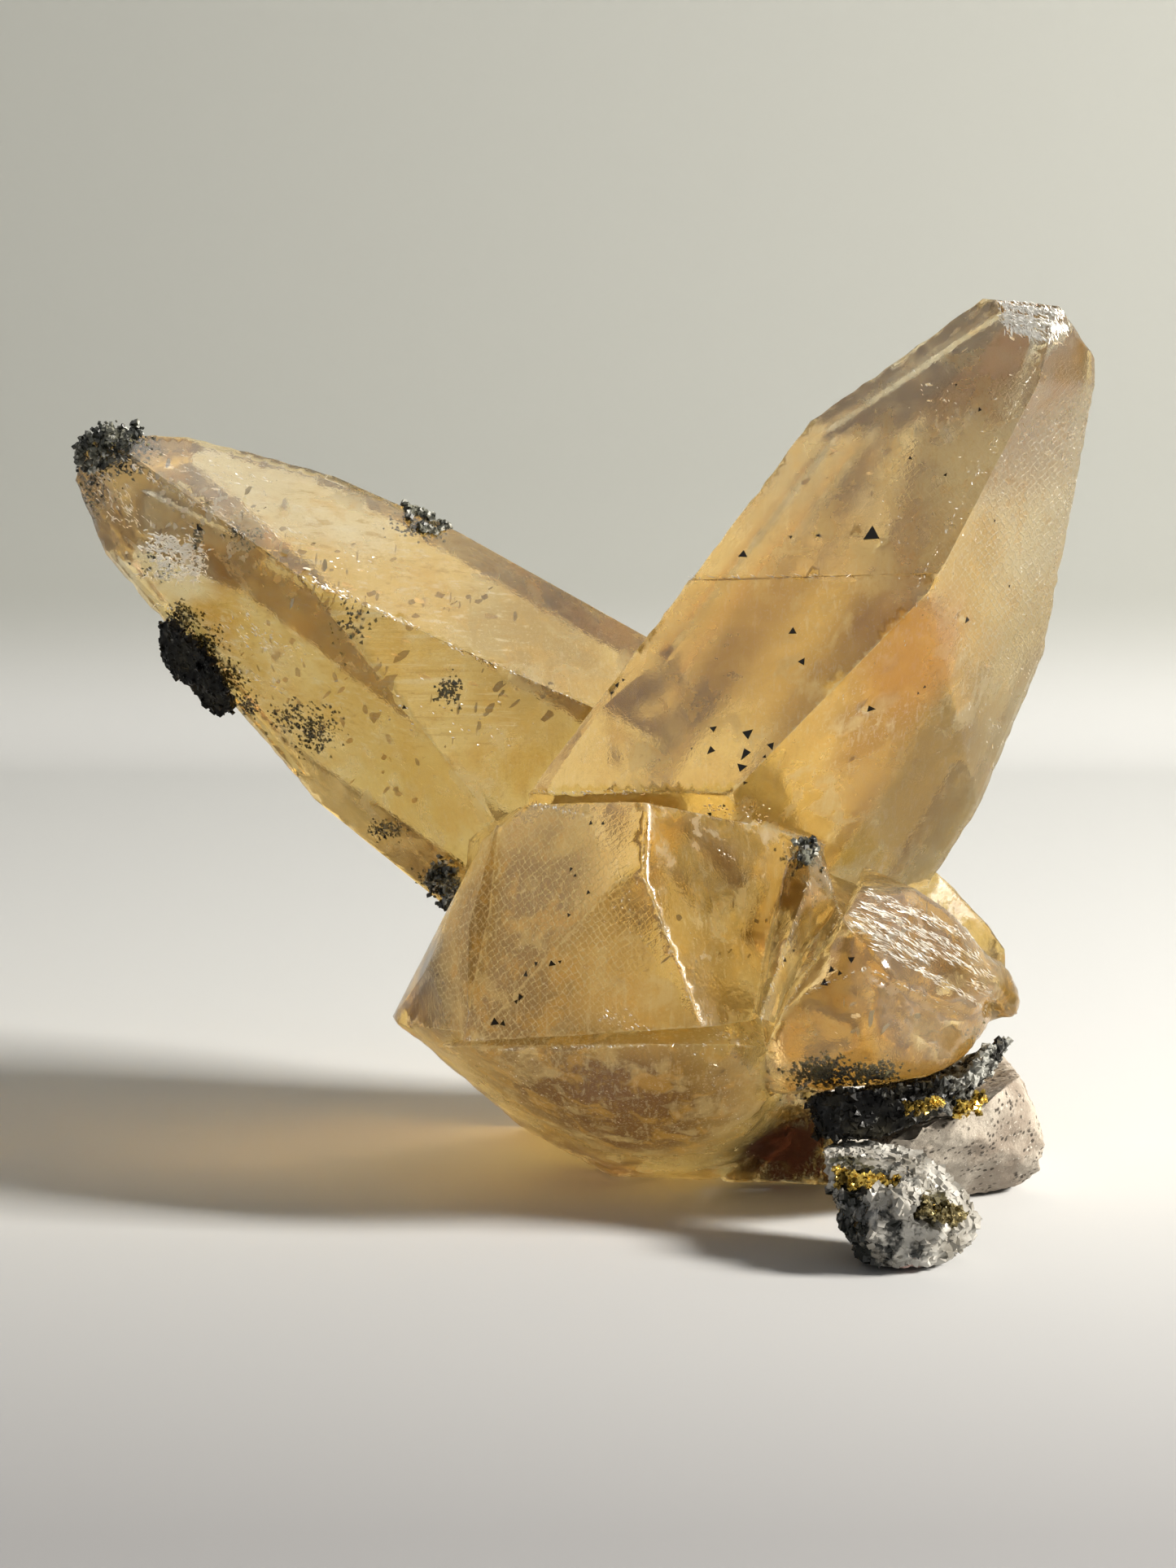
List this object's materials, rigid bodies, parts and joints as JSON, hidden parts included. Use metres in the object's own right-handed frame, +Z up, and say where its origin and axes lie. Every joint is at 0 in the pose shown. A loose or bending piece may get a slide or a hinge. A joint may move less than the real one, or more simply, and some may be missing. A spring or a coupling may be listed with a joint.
{
  "type": "calcite crystal specimen",
  "caption": "Golden calcite specimen with two blade-like crystals in a V, on a cluster with black sphalerite, grey rock and a white drusy foot",
  "frame": {"origin": "on the ground, under the middle of the specimen's box", "axes": "+X to the right as the specimen is shown, +Y to its back, +Z up"},
  "size_m": [0.104, 0.0747, 0.0902],
  "materials": {
    "calcite": "clear to milky honey-coloured crystal, glossy faces with etched patches",
    "rock": "dull and granular",
    "sphalerite": "black with a resinous shine",
    "dolomite": "sparkling white druse",
    "chalcopyrite": "bright brassy metal grains",
    "druse": "dark glittering crust"
  },
  "bodies": {
    "root": {"calcite_crystals": "calcite", "matrix_rock": "rock", "sphalerite_seam": "sphalerite", "sphalerite_crust": "sphalerite", "drusy_foot": "dolomite", "foot_chalcopyrite": "chalcopyrite", "foot_pyrite": "chalcopyrite", "seam_chalcopyrite": "chalcopyrite", "rock_chalcopyrite": "chalcopyrite", "tip_druse": "druse", "edge_druse": "druse", "root_druse": "druse", "blade_druse": "druse"}
  },
  "joints": []
}
